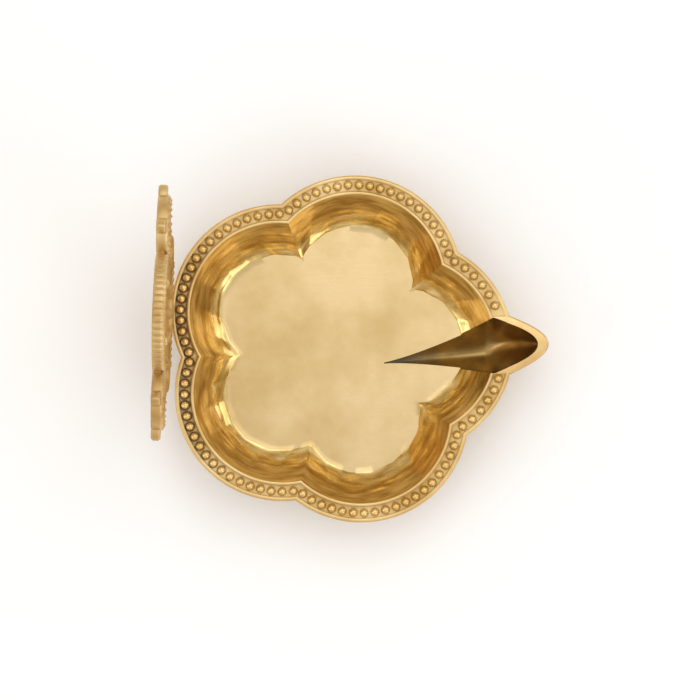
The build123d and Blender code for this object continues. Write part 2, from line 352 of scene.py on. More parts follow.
@dataclass(frozen=True)
class CastBrass:
    """Sand-cast yellow brass, worked and rubbed to some degree.

    The eye sees a warm metal whose colour deepens with each reflection, soft cloudy changes of
    gloss where it was rubbed, fine scratches along one way, and dull dark patina in the hollows,
    which also paints in the shade that falls there.
    """

    name: str
    colour: str
    deep: str  # colour of the less rubbed clouds; on the wall, painted dark reflection streaks
    roughness: float
    roughness_spread: float = 0.06
    scratch_gap: float = 0.3  # millimetres between scratches; real ones are finer
    scratch_height: float = 0.004  # millimetres
    scratch_way: tuple[float, float, float] = EVEN  # small means long along that axis
    grain: float = 0.0  # millimetres of sand-cast pitting
    grain_size: float = 0.7
    cloud_size: float = 14.0
    cloud_way: tuple[float, float, float] = EVEN  # large means short along that axis
    patina_and_shade_colour: str = "#4A3A24"
    patina_and_shade_reach: float = 0.0  # millimetres out of a hollow that the dark patina and the painted shade reach
    patina_and_shade_share: float = 0.0
    patina_and_shade_extra: float = 0.0  # how much darker towards one end: patina left where rubbing can't reach, and painted shade
    patina_and_shade_span: tuple[float, float] = (-44.0, -30.0)  # along the lamp, from all of the extra dark to none; by default it lies by the plate
    ripple: float = 0.0  # millimetres of soft unevenness left by hand scraping
    ripple_size: float = 4.0

    def build(self) -> bpy.types.Material:
        """Makes the node material.

        Returns:
            The material, ready for a slot.
        """
        material = bpy.data.materials.new(self.name)
        material.use_nodes = True
        tree = material.node_tree
        tree.nodes.clear()
        place = add_node(tree, "TexCoord").outputs["Object"]

        spread = add_node(tree, "Mapping", Vector=place, Scale=self.cloud_way).outputs["Vector"]
        clouds = add_noise(tree, spread, self.cloud_size, 4.0, 0.6)
        colour = add_ramp(tree, clouds, ((0.36, linear(self.deep)), (0.64, linear(self.colour))))
        spread = add_node(tree, "Mapping", Vector=place, Scale=self.scratch_way).outputs["Vector"]
        scratches = add_noise(tree, spread, self.scratch_gap, 3.0, 0.7)
        dullest = self.roughness + self.roughness_spread
        gloss = add_math(tree, "MULTIPLY_ADD", clouds, -2 * self.roughness_spread, dullest)
        gloss = add_math(tree, "MULTIPLY_ADD", scratches, 0.12, gloss, clamp=True)
        gloss = add_math(tree, "SUBTRACT", gloss, 0.06, clamp=True)

        metallic: object = 1.0
        if self.patina_and_shade_reach:
            patina_and_shade = self.patina_and_shade_cover(tree, place)
            mix = {"Factor": patina_and_shade, "in6": colour, "in7": linear(self.patina_and_shade_colour)}
            colour = add_node(tree, "Mix", {"data_type": "RGBA"}, **mix).outputs[2]
            gloss = add_math(tree, "MULTIPLY_ADD", patina_and_shade, 0.35, gloss, clamp=True)
            metallic = add_math(tree, "MULTIPLY_ADD", patina_and_shade, -0.6, 1.0)

        height = add_math(tree, "MULTIPLY", scratches, self.scratch_height * MM)
        if self.ripple:
            waves = add_noise(tree, place, self.ripple_size, 1.5)
            height = add_math(tree, "MULTIPLY_ADD", waves, self.ripple * MM, height)
        if self.grain:
            pits = add_noise(tree, place, self.grain_size, 5.0, 0.7)
            height = add_math(tree, "MULTIPLY_ADD", pits, self.grain * MM, height)
        bump = add_node(tree, "Bump", Height=height, Distance=1.0, Strength=1.0).outputs["Normal"]
        skin = {"Base_Color": colour, "Metallic": metallic, "Roughness": gloss, "Normal": bump}
        shader = add_node(tree, "BsdfPrincipled", **skin)
        add_node(tree, "OutputMaterial", Surface=shader.outputs["BSDF"])
        return material

    def patina_and_shade_cover(
        self, tree: bpy.types.NodeTree, place: bpy.types.NodeSocket
    ) -> bpy.types.NodeSocket:
        """Adds the nodes that darken the hollows: real patina, and painted shade.

        Args:
            tree: The material's node tree.
            place: Socket that gives the place on the piece.

        Returns:
            The socket of its cover, from 0 to 1.
        """
        settings = {"samples": 6, "only_local": True}
        reach = self.patina_and_shade_reach * MM
        # Ambient occlusion darkens what is shut in: painted shade in the hollows, laid over the
        # patina.
        hollow = add_node(tree, "AmbientOcclusion", settings, Distance=reach).outputs["AO"]
        patches = add_noise(tree, place, 2.2, 4.0, 0.65)
        open_air = add_math(tree, "MULTIPLY_ADD", patches, 0.35, hollow)
        # Darker still towards one end along the lamp: patina, and painted shade.
        if self.patina_and_shade_extra:
            along = add_node(tree, "SeparateXYZ", in0=place).outputs["X"]
            first, last = (end * MM for end in self.patina_and_shade_span)
            span = {"in1": first, "in2": last, "in3": self.patina_and_shade_extra, "in4": 0.0}
            near = add_node(tree, "MapRange", in0=along, **span).outputs[0]
            open_air = add_math(tree, "SUBTRACT", open_air, near)
        full, none = 0.45 + 0.5 * self.patina_and_shade_share, 0.95 + 0.2 * self.patina_and_shade_share
        return add_ramp(tree, open_air, ((full, 1.0), (none, 0.0)))


def cast_finish(name: str, roughness: float) -> CastBrass:
    """Plain as-cast finish of the hidden underside."""
    return CastBrass(
        name, "#DCBC80", "#C6A062", roughness, scratch_gap=0.5, scratch_height=0.006, grain=0.03
    )


def assemble(
    casting: bpy.types.Object,
    finishes: Sequence[CastBrass],
    steps: Sequence[tuple[Callable[[], bpy.types.Object], str]],
    crease: float,
) -> None:
    """Gives a casting its finishes, then joins and cuts its tools in order.

    Args:
        casting: The casting.
        finishes: Its finishes, in the order of its slots.
        steps: What makes each tool, and UNION or DIFFERENCE.
        crease: Angle in degrees above which an edge is shaded sharp.
    """
    materials = [finish.build() for finish in finishes]
    for material in materials:
        casting.data.materials.append(material)
    for make, operation in steps:
        tool = make()
        for material in materials:
            tool.data.materials.append(material)
        combine(casting, tool, operation)
        log.info("%s after %s: %d faces", casting.name, operation, len(casting.data.polygons))
    shade(casting, crease)


# ---------------------------------------------------------------- bowl


@dataclass
class LobedBowl:
    """The bowl casting: five lobes, beaded flange, spout, keel and back tab."""

    lobes: int = 5
    lobe_centre: float = 19.2
    flange_r: float = 30.0
    mouth_r: float = 24.7
    lip_r: float = 25.5
    band_low_r: float = 25.9
    band_high_r: float = 29.0
    band_sink: float = 0.25
    shoulder_r: float = 19.9
    floor_r: float = 16.3
    base_r: float = 16.7
    shoulder_rise: float = 3.0
    lip_rise: float = 0.35
    floor_thickness: float = 2.0
    wall_r: float = 26.9  # outer wall where it meets the flange
    knee_r: float = 22.4
    knee_rise: float = 4.6  # above the foot's top
    edge_round: float = 0.55
    around: int = 96  # vertices along one lobe's arc
    floor_scrape: float = 0.35  # how far the scraper made the floor's edge wander
    wall_scrape: float = 0.34
    filed: float = 0.03  # the same for the filed lip and band
    hollows: Point = (5.5, 2.6)  # length and height of the hollows left in the wall
    streaks: Point = (13.0, 0.55)

    bead_ring_r: float = 27.3
    bead_r: float = 1.18
    bead_rise: float = 0.85
    beads_per_lobe: int = 19
    spout_bead_angle: float = 21.9
    spout_beads: int = 6

    spout_lean: float = -1.1
    nose_fullness: float = 0.5  # smaller makes a blunter nose
    side_bow: float = 0.9  # larger makes the spout's sides fuller
    facet: float = 6.5  # millimetres across one flat left by the scraper
    spout_root_half: float = 8.2
    spout_border: float = 3.0
    channel_root: tuple[float, float] = (13.2, -4.0)
    channel_mouth_half: float = 7.6
    channel_dip: float = 4.0
    channel_dip_inset: float = 2.4
    channel_nose_dip: float = 1.8
    keel_wall: float = 1.5
    channel_start_half: float = 0.2
    channel_centring: float = 0.85  # smaller brings the channel to the middle later
    channel_opening: float = 1.35  # larger keeps the channel narrow for longer
    channel_stations: int = 110
    keel_taper: float = 0.4  # share of the keel's wall that is gone at the tip
    keel_taper_length: float = 3.0
    channel_across: int = 44
    tab_half: float = 2.8
    hole_r: float = 1.4

    foot_top: float = field(init=False)
    floor_z: float = field(init=False)
    flange_low: float = field(init=False)
    rim_z: float = field(init=False)
    nose_x: float = field(init=False)

    def __post_init__(self) -> None:
        """Takes the heights and the two ends from the model."""
        self.foot_top = cad_box("foot_ring")[1].z
        self.floor_z = self.foot_top + self.floor_thickness
        self.flange_low = cad_box("washer")[1].z
        self.rim_z = cad_box("back_plate")[0].z
        self.nose_x = cad_box("bowl")[1].x

    @property
    def half_lobe(self) -> float:
        """Half the angle between two notches, in radians."""
        return math.pi / self.lobes

    @property
    def mouth_x(self) -> float:
        """Where the spout's centre line crosses the mouth."""
        return self.lobe_centre + self.mouth_r

    def notch(self, radius: float) -> float:
        """Distance from the lamp's axis to the notch at an arc radius."""
        side = self.lobe_centre * math.sin(self.half_lobe)
        return self.lobe_centre * math.cos(self.half_lobe) + math.sqrt(radius**2 - side**2)

    def reach(self, radius: float) -> float:
        """Angle at a lobe's centre from its middle to the notch."""
        notch = self.notch(radius)
        return math.atan2(
            notch * math.sin(self.half_lobe), notch * math.cos(self.half_lobe) - self.lobe_centre
        )

    def ring(self, radius: float, scrape: float, height: float, seed: float) -> np.ndarray:
        """One closed ring of the lobed outline, made uneven by hand scraping.

        Args:
            radius: Arc radius.
            scrape: How far the ring wanders, in millimetres.
            height: Height of the ring.
            seed: Place in the noise, so that neighbouring rings wander together.

        Returns:
            One row of x, y, z for each vertex.
        """
        reach = self.reach(radius)
        rows = []
        for lobe in range(self.lobes):
            turn = 2 * self.half_lobe * lobe
            centre = Vector((self.lobe_centre * math.cos(turn), self.lobe_centre * math.sin(turn)))
            for step in range(self.around):
                angle = reach * (2 * step / self.around - 1)
                along = radius * angle
                calm = ease((1 - abs(angle) / reach) * 8 + 0.35)
                spot = (along / self.hollows[0], seed / self.hollows[1], lobe * 7.3)
                wide = noise.noise(Vector(spot))
                spot = (along / self.streaks[0], seed / self.streaks[1], lobe * 3.1 + 40)
                fine = noise.noise(Vector(spot))
                shift = scrape * calm * (1.1 * wide + 0.65 * fine)
                flat = self.facet / radius
                local = (angle + 0.05 * lobe + 0.04 * wide) % flat - flat / 2
                cut = radius * (1 - math.cos(flat / 2) / math.cos(local))
                far = radius + shift - 2.2 * scrape * cut
                rows.append(
                    (
                        centre.x + far * math.cos(turn + angle),
                        centre.y + far * math.sin(turn + angle),
                        height,
                    )
                )
        return np.array(rows)

    def profile(self) -> list[tuple[float, float, float, Zone]]:
        """Rings from the floor's edge over the lip and flange and back under to the base.

        Returns:
            Arc radius, height, scrape and the zone up to the next ring, for each ring.
        """
        floor, rim, low = self.floor_z, self.rim_z, self.flange_low
        shoulder, lip = floor + self.shoulder_rise, rim + self.lip_rise
        rings = [(self.floor_r, floor, self.floor_scrape, Zone.WALL)]
        for share in shares(9)[:-1]:
            radius = self.floor_r + share * (self.shoulder_r - self.floor_r)
            rise = self.shoulder_rise * (0.7 * share + 0.3 * share**2)
            rings.append((radius, floor + rise, self.wall_scrape, Zone.WALL))
        for share in [0.0, *shares(18)[:-1]]:
            belly = 0.35 * math.sin(math.pi * share)
            radius = self.shoulder_r + share * (self.mouth_r - self.shoulder_r) + belly
            scrape = self.wall_scrape * (1 - 0.8 * share)
            rings.append((radius, shoulder + share * (lip - 0.25 - shoulder), scrape, Zone.WALL))
        sunk = rim - self.band_sink
        rings += [
            (self.mouth_r, lip - 0.22, 0.05, Zone.WALL),
            (self.mouth_r + 0.08, lip - 0.06, 0.04, Zone.RIM),
            (self.mouth_r + 0.24, lip, self.filed, Zone.RIM),
            (self.lip_r - 0.24, lip, self.filed, Zone.RIM),
            (self.lip_r - 0.06, lip - 0.08, self.filed, Zone.RIM),
            (self.lip_r + 0.06, rim - 0.06, self.filed, Zone.GROUND),
            (self.band_low_r, sunk, self.filed, Zone.GROUND),
        ]
        width = self.band_high_r - self.band_low_r - 0.3
        for share in shares(8):
            rings.append((self.band_low_r + share * width, sunk, self.filed, Zone.GROUND))
        rings += [
            (self.band_high_r - 0.1, rim - 0.12, self.filed, Zone.RIM),
            (self.band_high_r + 0.08, rim - 0.01, self.filed, Zone.RIM),
            (self.band_high_r + 0.25, rim, self.filed, Zone.RIM),
        ]
        turns = [math.pi / 2 * step / 5 for step in range(6)]
        edge = self.edge_round
        bend = [(edge * (1 - math.sin(turn)), edge * (1 - math.cos(turn))) for turn in turns]
        rings += [(self.flange_r - a, rim - b, 0.0, Zone.RIM) for a, b in bend]
        rings += [(self.flange_r - b, low + a, 0.0, Zone.UNDERSIDE) for a, b in bend]
        rings += [
            (self.wall_r + 1.2, low, 0.0, Zone.UNDERSIDE),
            (self.wall_r + 0.35, low - 0.15, 0.0, Zone.UNDERSIDE),
            (self.wall_r - 0.25, low - 0.8, 0.0, Zone.UNDERSIDE),
        ]
        knee = self.foot_top + self.knee_rise
        for share in shares(8):
            radius = self.wall_r - 0.25 + share * (self.knee_r - self.wall_r + 0.25)
            height = low - 0.8 + share * (knee - low + 0.8)
            rings.append((radius, height, 0.12, Zone.UNDERSIDE))
        for share in shares(6):
            radius = self.knee_r + share * (self.base_r - self.knee_r)
            height = knee - share * self.knee_rise
            rings.append((radius, height, 0.12 * (1 - share), Zone.UNDERSIDE))
        return rings

    def tray(self) -> bpy.types.Object:
        """The lobed tray with its flange, before the spout is joined to it."""
        count = self.lobes * self.around
        edge = self.ring(self.floor_r, self.floor_scrape, self.floor_z, self.floor_r)
        rows = [(edge * (share**0.75, share**0.75, 1), Zone.FLOOR) for share in shares(16)[:-1]]
        for radius, height, scrape, zone in self.profile():
            rows.append((self.ring(radius, scrape, height, radius), zone))
        base = rows[-1][0]
        rows += [(base * (1 - share, 1 - share, 1), Zone.UNDERSIDE) for share in shares(5)[:-1]]
        zones = [zone.value for _, zone in rows[:-1] for _ in range(count)]
        zones += [Zone.FLOOR.value] * count + [Zone.UNDERSIDE.value] * count
        ends = np.array([[0, 0, self.floor_z], [0, 0, self.foot_top]])
        vertices = np.vstack([points for points, _ in rows] + [ends])
        top, last = len(rows) * count, (len(rows) - 1) * count
        faces = [face[::-1] for face in grid_faces(len(rows), count)]
        pairs = [(column, (column + 1) % count) for column in range(count)]
        faces += [(top, a, b) for a, b in pairs]
        faces += [(last + b, last + a, top + 1) for a, b in pairs]
        return new_piece("bowl_casting", vertices, faces, zones)

    def spout_half(self, x: float, root: float, root_half: float, tip: float) -> float:
        """Half width of a spout outline that closes in a round nose.

        Args:
            x: Place along the spout.
            root: Where the spout's sides start.
            root_half: Half width there.
            tip: The nose's end.

        Returns:
            The half width.
        """
        share = min(max((x - root) / (tip - root), 0.0), 1.0)
        return root_half * (1 - share**self.side_bow) ** self.nose_fullness

    def spout_flange(self) -> bpy.types.Object:
        """The flat flange round the spout, with its edge rounded as the lobes' is."""
        root = self.lobe_centre + self.flange_r - 1.0
        inner_r = self.lip_r - 0.1
        reach = self.nose_x - root
        edge = [
            (x, self.spout_half(x, root, self.spout_root_half, self.nose_x))
            for x in (root + reach * (1 - (1 - share) ** 2.2) for share in np.linspace(0, 1, 40))
        ]
        outline = edge + [(x, -half) for x, half in reversed(edge[:-1])]
        open_angle = math.asin(self.spout_root_half / inner_r)
        inner = [
            (self.lobe_centre + inner_r * math.cos(angle), inner_r * math.sin(angle))
            for angle in np.linspace(-open_angle, open_angle, 24)
        ]
        plan = np.array(outline + inner)
        middle = plan.mean(axis=0)
        ring_levels = [
            (self.flange_low, self.edge_round),
            (self.flange_low + 0.16, 0.16),
            (self.flange_low + self.edge_round, 0.0),
            (self.rim_z - self.edge_round, 0.0),
            (self.rim_z - 0.27, 0.07),
            (self.rim_z - 0.08, 0.27),
            (self.rim_z, self.edge_round),
        ]
        tangent = np.roll(plan, -1, axis=0) - np.roll(plan, 1, axis=0)
        inward = np.column_stack([tangent[:, 1], -tangent[:, 0]])
        inward /= np.linalg.norm(inward, axis=1)[:, None]
        side = np.sign(((middle - plan) * inward).sum(axis=1))
        inward *= np.where(side == 0, 1, side)[:, None]
        rows = []
        for height, inset in ring_levels:
            rows.append(np.column_stack([plan + inward * inset, np.full(len(plan), height)]))
        vertices = turned(np.vstack(rows), math.radians(self.spout_lean))
        faces = tube_faces(len(rows), len(plan), inside_out=True)
        return new_piece("spout_flange", vertices, faces, [Zone.RIM.value] * len(faces))

    def channel_bottom(self, x: float) -> float:
        """Height of the channel's deepest line."""
        dip_x = self.mouth_x - self.channel_dip_inset
        if x <= dip_x:
            share = (x - self.channel_root[0]) / (dip_x - self.channel_root[0])
            return self.floor_z - 0.2 - (self.channel_dip - 0.2) * ease(share) ** 0.8
        tip = self.nose_x - self.spout_border
        share = min((x - dip_x) / (tip - dip_x), 1.0)
        climb = self.rim_z - self.floor_z + self.channel_dip - self.channel_nose_dip
        return self.floor_z - self.channel_dip + climb * share**1.5

    def keel_top(self, x: float) -> float:
        """Height of the keel's hidden top, which stays inside the floor, wall and spout."""
        places = (
            self.lobe_centre + self.floor_r - 0.5,
            self.lobe_centre + self.shoulder_r,
            self.mouth_x,
            self.mouth_x + 1,
        )
        shoulder = self.floor_z + self.shoulder_rise
        heights = (self.floor_z, shoulder, self.rim_z - 1.5, self.rim_z)
        return float(np.interp(x, places, heights)) - 0.5

    def channel_row(self, x: float, margin: float) -> list[tuple[float, float, float]]:
        """One closed section of the channel's body.

        Args:
            x: Place along the spout.
            margin: How far the channel is grown below and to the sides.

        Returns:
            Its vertices, along the curved bottom and back over the top.
        """
        root_x, root_y = self.channel_root
        end = self.nose_x - self.spout_border
        tip = end + margin
        flare = 0.0 if margin else 0.22
        half = self.channel_mouth_half
        opened = min(max((x - root_x) / (self.mouth_x - root_x), 0.0), 1.0)
        centre = root_y * (1 - opened) ** self.channel_centring
        first = self.channel_start_half
        low_half = first + (0.96 * half - first) * opened**self.channel_opening
        bottom = self.channel_bottom(min(max(x, root_x), end))
        in_wall = ease((x - self.lobe_centre - self.floor_r) / (self.mouth_r - self.floor_r))
        edge = self.floor_z + 0.05
        edge += in_wall * max(0.0, bottom + 0.35 * (self.rim_z - bottom) - edge)
        top_half = low_half + 0.04 * half
        low_half += margin
        top_half += margin
        taper = ease((x - tip + self.keel_taper_length) / self.keel_taper_length)
        bottom -= margin * (1 - self.keel_taper * taper)
        nose = ease((x - self.mouth_x + 2.0) / 6.0)
        limit = max(self.spout_half(x, self.mouth_x, half + margin, tip), 0.03)
        if x > self.mouth_x - 2.0:
            blend = top_half + nose * (limit - top_half)
            top_half = blend if x < self.mouth_x else min(top_half, limit)
            low_half = min(low_half, top_half * (0.94 + 0.03 * nose))
            edge = edge + nose * (self.rim_z - 0.35 - edge)
        deep_y = -0.22 * low_half * (1 - nose)
        high = self.keel_top(x) if margin else self.rim_z + 1.5
        edge = min(edge, high - 0.2)
        row = []
        for step in range(self.channel_across + 1):
            y = low_half * math.sin(math.pi * (step / self.channel_across - 0.5))
            reach = low_half - deep_y if y > deep_y else low_half + deep_y
            share = min(abs(y - deep_y) / max(reach, 1e-6), 1.0)
            row.append((x, centre + y, bottom + (edge - bottom) * share ** (1.7 + 0.5 * nose)))
        shelf = min(edge + 0.45, high - 0.1)
        row.append((x, centre + top_half + 0.4 * flare, shelf))
        row.append((x, centre + top_half + flare, high))
        row.append((x, centre - top_half - flare, high))
        row.append((x, centre - top_half - 0.4 * flare, shelf))
        return row

    def channel_body(self, margin: float, zone: Zone) -> bpy.types.Object:
        """The wick channel as a closed body, for cutting, or grown into the keel.

        Args:
            margin: How far it is grown below and to the sides.
            zone: Finish of its faces.

        Returns:
            The body.
        """
        start = self.channel_root[0] - margin
        tip = self.nose_x - self.spout_border + margin
        count = self.channel_stations
        rows = []
        for step in range(count):
            x = start + (tip - 0.02 - start) * (1 - (1 - step / (count - 1)) ** 1.6)
            rows.append(np.array(self.channel_row(x, margin)))
        vertices = turned(np.vstack(rows), math.radians(self.spout_lean))
        faces = tube_faces(count, len(rows[0]))
        return new_piece("channel_body", vertices, faces, [zone.value] * len(faces))

    def tab(self) -> bpy.types.Object:
        """The small tab behind one back lobe that the plate stands on."""
        root, half = 2.3, self.tab_half  # the root ends just short of the sunk band
        plan = [(root, -half)]
        for angle in np.linspace(-math.pi / 2, math.pi / 2, HALF_ROUND_STEPS + 1):
            plan.append((-half * math.cos(angle), half * math.sin(angle)))
        plan.append((root, half))
        levels = (self.flange_low + 0.01, self.rim_z - 0.005)
        return prism("tab", plan, levels, 0.0, Zone.RIM.value, clockwise=True)

    def hole(self) -> bpy.types.Object:
        """Cutter of the screw's hole."""
        plan = circle(self.hole_r, clockwise=True)
        levels = (self.flange_low - 1, self.rim_z + 1)
        return prism("hole", plan, levels, 0.0, Zone.UNDERSIDE.value, clockwise=True)


    def bead_places(self) -> list[tuple[float, float]]:
        """Centre of every bead in plan."""
        reach = self.reach(self.bead_ring_r)
        pitch = 2 * reach / self.beads_per_lobe
        last = pitch * (self.beads_per_lobe - 1) / 2
        first = math.radians(self.spout_bead_angle)
        places = []
        for lobe in range(self.lobes):
            angles = [pitch * step - last for step in range(self.beads_per_lobe)]
            if lobe == 0:
                gap = (last - first) / (self.spout_beads - 1)
                steps = range(self.spout_beads)
                angles = [side * (first + gap * step) for side in (1, -1) for step in steps]
            turn = 2 * self.half_lobe * lobe
            x, y = self.lobe_centre * math.cos(turn), self.lobe_centre * math.sin(turn)
            for way in (turn + angle for angle in angles):
                places.append(
                    (x + self.bead_ring_r * math.cos(way), y + self.bead_ring_r * math.sin(way))
                )
        return places

    def beads(self) -> bpy.types.Object:
        """All the flange's beads in one mesh of separate domes, each a little uneven."""
        draw = random.Random(11)
        dome = bmesh.new()
        bmesh.ops.create_icosphere(dome, subdivisions=3, radius=1.0)
        shape = np.array([vertex.co[:] for vertex in dome.verts])
        triangles = [[vertex.index for vertex in face.verts] for face in dome.faces]
        dome.free()
        points, faces = [], []
        for x, y in self.bead_places():
            size = self.bead_r * draw.uniform(0.98, 1.0)
            top = self.rim_z + self.bead_rise - draw.uniform(0.0, 0.08)
            lift = top - 0.95 * size
            lean = Matrix.Rotation(draw.uniform(-0.1, 0.1), 3, "X") @ Matrix.Rotation(
                draw.uniform(0, 2 * math.pi), 3, "Z"
            )
            local = shape @ np.array(lean).T
            local = local * (size, size * draw.uniform(0.96, 1.0), 0.95 * size)
            places = local + (x + draw.uniform(-0.06, 0.06), y + draw.uniform(-0.06, 0.06), lift)
            start = len(points) * len(shape)
            points.append(places)
            faces += [[start + corner for corner in triangle] for triangle in triangles]
        return new_piece("beads", np.vstack(points), faces, [Zone.BEAD.value] * len(faces))

    def build(self) -> bpy.types.Object:
        """Joins and cuts the bowl, and shades its creases sharp.

        Returns:
            The finished casting.
        """
        bowl = self.tray()
        steps = (
            (self.spout_flange, "UNION"),
            (lambda: self.channel_body(self.keel_wall, Zone.UNDERSIDE), "UNION"),
            (self.tab, "UNION"),
            (self.beads, "UNION"),
            (lambda: self.channel_body(0.0, Zone.CHANNEL), "DIFFERENCE"),
            (self.hole, "DIFFERENCE"),
        )
        assemble(bowl, self.finishes(), steps, crease=30)
        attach(bowl, BODY)
        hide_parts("bowl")
        return bowl

    def finishes(self) -> list[CastBrass]:
        """Finishes in the order of the zones."""
        return [
            CastBrass(
                "brushed_brass_floor",
                "#D3B989",
                "#C2A571",
                0.3,
                roughness_spread=0.05,
                scratch_gap=0.35,
                scratch_height=0.0012,
                scratch_way=ALONG_LAMP,
                cloud_size=22.0,
            ),
            # The wall's deep colour, drawn out into horizontal streaks, is painted dark reflection
            # streaks.
            CastBrass(
                "scraped_brass_wall",
                "#F9DB97",
                "#BE9A51",
                0.19,
                roughness_spread=0.05,
                scratch_gap=0.6,
                scratch_height=0.0004,
                cloud_size=9.0,
                cloud_way=(1.0, 1.0, 5.0),
                ripple=0.06,
                ripple_size=5.0,
            ),
            CastBrass("filed_brass_rim", "#E2C48A", "#D2AE72", 0.4, grain=0.01),
            # Band between the beads: dark patina that is partly painted shade, and darker still by
            # the plate, where the plate's shade is painted in.
            CastBrass(
                "oxidised_and_shaded_brass_ground",
                "#DEC088",
                "#BC9858",
                0.48,
                roughness_spread=0.05,
                scratch_height=0.006,
                grain=0.05,
                patina_and_shade_colour="#54422A",
                patina_and_shade_reach=0.6,
                patina_and_shade_share=0.6,
                patina_and_shade_extra=0.3,
            ),
            CastBrass("rubbed_brass_bead", "#ECCC8C", "#DCB66E", 0.3, grain=0.01),
            # The channel is darker than the floor: partly its as-cast finish, partly painted shade
            # of the deep groove; its patina, darkest towards the apex, is partly painted shade too.
            CastBrass(
                "cast_and_shaded_brass_channel",
                "#AB8D57",
                "#7C6234",
                0.32,
                roughness_spread=0.08,
                scratch_gap=0.5,
                scratch_height=0.01,
                scratch_way=ALONG_LAMP,
                grain=0.02,
                ripple=0.03,
                patina_and_shade_colour="#5C523F",
                patina_and_shade_reach=1.0,
                patina_and_shade_extra=0.6,
                patina_and_shade_span=(16.0, 38.0),
            ),
            cast_finish("cast_brass_underside", 0.4),
        ]


# ---------------------------------------------------------------- back plate


def line_distance(u: np.ndarray, w: np.ndarray, line: Sequence[Point]) -> np.ndarray:
    """Distance from each place to a line of straight pieces.

    Args:
        u: Places across the plate.
        w: Places up the plate.
        line: Corners of the line, in order.

    Returns:
        One distance for each place.
    """
    nearest = np.full(u.shape, np.inf)
    for (u0, w0), (u1, w1) in zip(line, line[1:]):
        du, dw = u1 - u0, w1 - w0
        share = np.clip(((u - u0) * du + (w - w0) * dw) / max(du * du + dw * dw, 1e-12), 0, 1)
        nearest = np.minimum(nearest, (u - u0 - share * du) ** 2 + (w - w0 - share * dw) ** 2)
    return np.sqrt(nearest)


def polygon_distance(u: np.ndarray, w: np.ndarray, outline: Sequence[Point]) -> np.ndarray:
    """Distance from each place to a closed outline, negative inside it."""
    closed = [*outline, outline[0]]
    inside = np.zeros(u.shape, bool)
    for (u0, w0), (u1, w1) in zip(closed, closed[1:]):
        if w1 != w0:
            inside ^= ((w0 > w) != (w1 > w)) & (u < u0 + (w - w0) * (u1 - u0) / (w1 - w0))
    return np.where(inside, -1, 1) * line_distance(u, w, closed)


def swell(distance: np.ndarray, width: float) -> np.ndarray:
    """Rounded rise from 0 at an outline to 1 at a width inside it."""
    share = np.clip(-distance / width, 0, 1)
    return np.sqrt(1 - (1 - share) ** 2)


def arc_points(start: Point, middle: Point, end: Point, count: int) -> list[Point]:
    """Points along the circular arc through three points, both ends included."""
    a, b, c = (complex(*point) for point in (start, middle, end))
    ratio = (c - a) / (b - a)
    centre = a + (b - a) * (ratio - abs(ratio) ** 2) / (ratio - ratio.conjugate())
    first = a - centre
    turn = cmath.phase((b - centre) / first) + cmath.phase((c - centre) / (b - centre))
    ways = [turn * step / count for step in range(count + 1)]
    steps = [first * complex(math.cos(way), math.sin(way)) for way in ways]
    return [((centre + step).real, (centre + step).imag) for step in steps]


